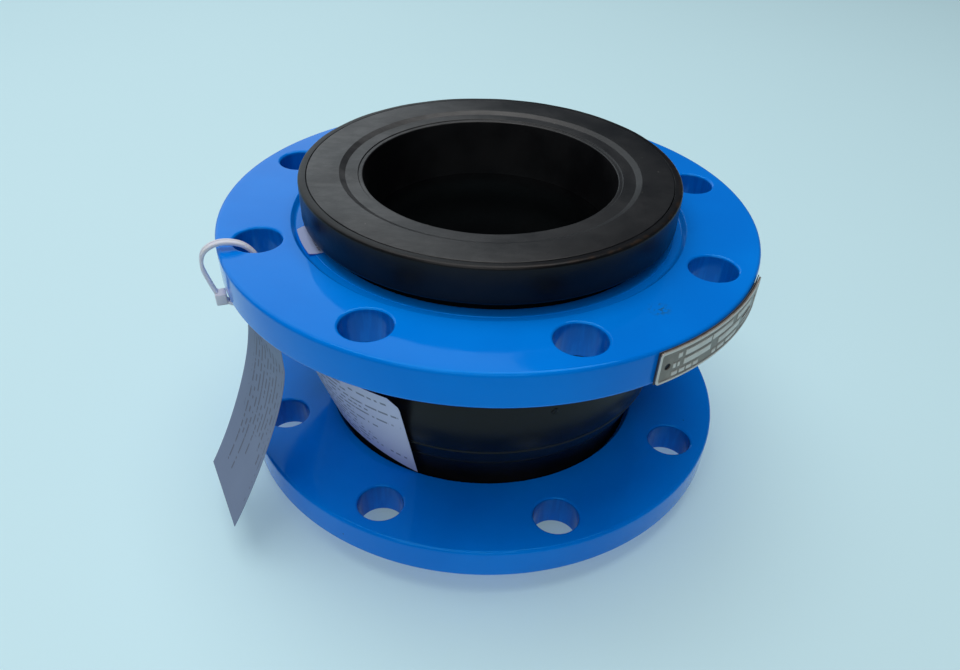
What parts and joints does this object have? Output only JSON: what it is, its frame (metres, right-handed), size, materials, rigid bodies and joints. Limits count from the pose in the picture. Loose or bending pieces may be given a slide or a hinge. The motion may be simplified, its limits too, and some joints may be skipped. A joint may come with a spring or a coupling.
{
  "type": "rubber expansion joint",
  "caption": "Single-arch rubber pipe expansion joint with loose steel flanges, a rim nameplate and a cable tie with paper leaflets.",
  "frame": {"origin": "on the pipe axis, in the plane of the lower sealing face, which is the face the joint stands on", "axes": "+Z along the pipe axis from the lower to the upper sealing face; -Y is the front, +X the right; the nameplate is at the front right of the rim and the cable tie at the left"},
  "size_m": [0.2171, 0.21, 0.126],
  "materials": {
    "blue_paint": "glossy blue enamel on steel",
    "black_rubber": "moulded black rubber, satin",
    "cord_ply": "rubberised nylon cord",
    "bead_steel": "bright steel wire",
    "plate_metal": "stamped plate, dull silver",
    "pad_adhesive": "thin adhesive pad",
    "tie_nylon": "translucent nylon",
    "leaflet_paper": "printed paper"
  },
  "bodies": {
    "lower_end": {"lower_sealing_tube": "black_rubber", "lower_cord_wrap": "cord_ply", "lower_bead_wire": "bead_steel", "lower_bead_filler": "black_rubber", "lower_collar_cover": "black_rubber", "leaflet_inner": "leaflet_paper"},
    "lower_flange": {"lower_flange": "blue_paint"},
    "arch_inner": {"arch_inner_tube": "black_rubber"},
    "arch_outer": {"arch_cord_ply_inner": "cord_ply", "arch_cord_ply_outer": "cord_ply", "arch_cover": "black_rubber"},
    "upper_end": {"upper_sealing_tube": "black_rubber", "upper_cord_wrap": "cord_ply", "upper_bead_wire": "bead_steel", "upper_bead_filler": "black_rubber", "upper_collar_cover": "black_rubber"},
    "upper_flange": {"upper_flange": "blue_paint", "nameplate": "plate_metal", "nameplate_pad": "pad_adhesive"},
    "cable_tie": {"cable_tie": "tie_nylon"},
    "leaflet_outer": {"leaflet_outer": "leaflet_paper"}
  },
  "joints": [
    {"name": "lateral_shift", "type": "slide", "parent": "lower_end", "child": "arch_inner", "axis": [0.7071, -0.7071, 0], "range_m": [-0.012, 0.012], "stiffness_N_per_m": 60000, "deforming": ["arch_inner_tube", "leaflet_inner"]},
    {"name": "axial_stretch", "type": "slide", "parent": "arch_inner", "child": "arch_outer", "axis": [0, 0, 1], "range_m": [-0.015, 0.01], "stiffness_N_per_m": 45000, "deforming": ["arch_cord_ply_inner", "arch_cord_ply_outer", "arch_cover"]},
    {"name": "tilt", "type": "hinge", "parent": "arch_outer", "child": "upper_end", "pos_m": [0, 0, 0.063], "axis": [0.7071, 0.7071, 0], "range_deg": [-10, 10], "stiffness_Nm_per_rad": 230},
    {"name": "lower_flange_turn", "type": "hinge", "parent": "lower_end", "child": "lower_flange", "pos_m": [0, 0, 0.0178], "axis": [0, 0, 1], "continuous": true},
    {"name": "upper_flange_turn", "type": "hinge", "parent": "upper_end", "child": "upper_flange", "pos_m": [0, 0, 0.102], "axis": [0, 0, 1], "continuous": true},
    {"name": "tie_swivel", "type": "hinge", "parent": "upper_flange", "child": "cable_tie", "pos_m": [-0.08457, -0.03078, 0.102], "axis": [0, 0, 1], "range_deg": [-12, 12]},
    {"name": "leaflet_swing", "type": "hinge", "parent": "cable_tie", "child": "leaflet_outer", "pos_m": [-0.08821, -0.04494, 0.088], "axis": [-0.454, 0.891, 0], "range_deg": [0, 40], "deforming": ["leaflet_outer"]}
  ]
}
